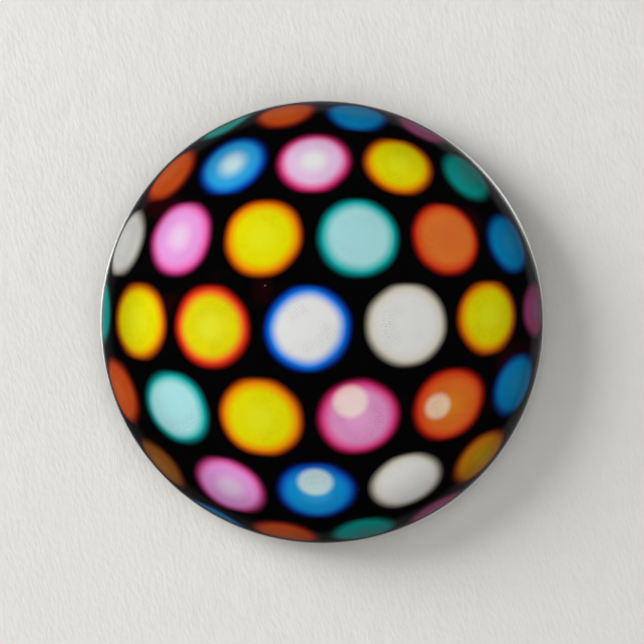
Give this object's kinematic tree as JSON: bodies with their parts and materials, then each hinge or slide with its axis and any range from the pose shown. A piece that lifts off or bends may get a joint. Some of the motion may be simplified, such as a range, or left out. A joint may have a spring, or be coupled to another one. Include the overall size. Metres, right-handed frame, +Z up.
{
  "type": "button badge",
  "caption": "Round domed pin-back button badge with a clear film over its printed face, a tinplate shell and back ring, and a spring wire pin that swings out of its catch.",
  "frame": {"origin": "middle of the flat ring on the back, in the plane that meets the cloth", "axes": "+Y out of the back, towards the wearer, +Z up as worn, +X to the viewer's right"},
  "size_m": [0.0572, 0.0084, 0.0572],
  "materials": {
    "clear_film": "clear, smooth, soft gloss",
    "printed_paper": "colour print of soft round lights on black, matte",
    "front_shell": "rolled tinplate, satin",
    "back_collet": "stamped tinplate, bright satin",
    "pin_wire": "nickel-plated spring wire",
    "pin_needle": "nickel-plated spring wire with a ground point"
  },
  "bodies": {
    "badge": {"clear_film": "clear_film", "printed_paper": "printed_paper", "front_shell": "front_shell", "back_collet": "back_collet", "pin_wire": "pin_wire"},
    "needle": {"pin_needle": "pin_needle"}
  },
  "joints": [
    {"name": "needle_swing", "type": "hinge", "parent": "badge", "child": "needle", "pos_m": [-0.01889, -0.00299, 0.004], "axis": [0, 0.8192, 0.5736], "range_deg": [0, 40], "stiffness_Nm_per_rad": 0.02}
  ]
}
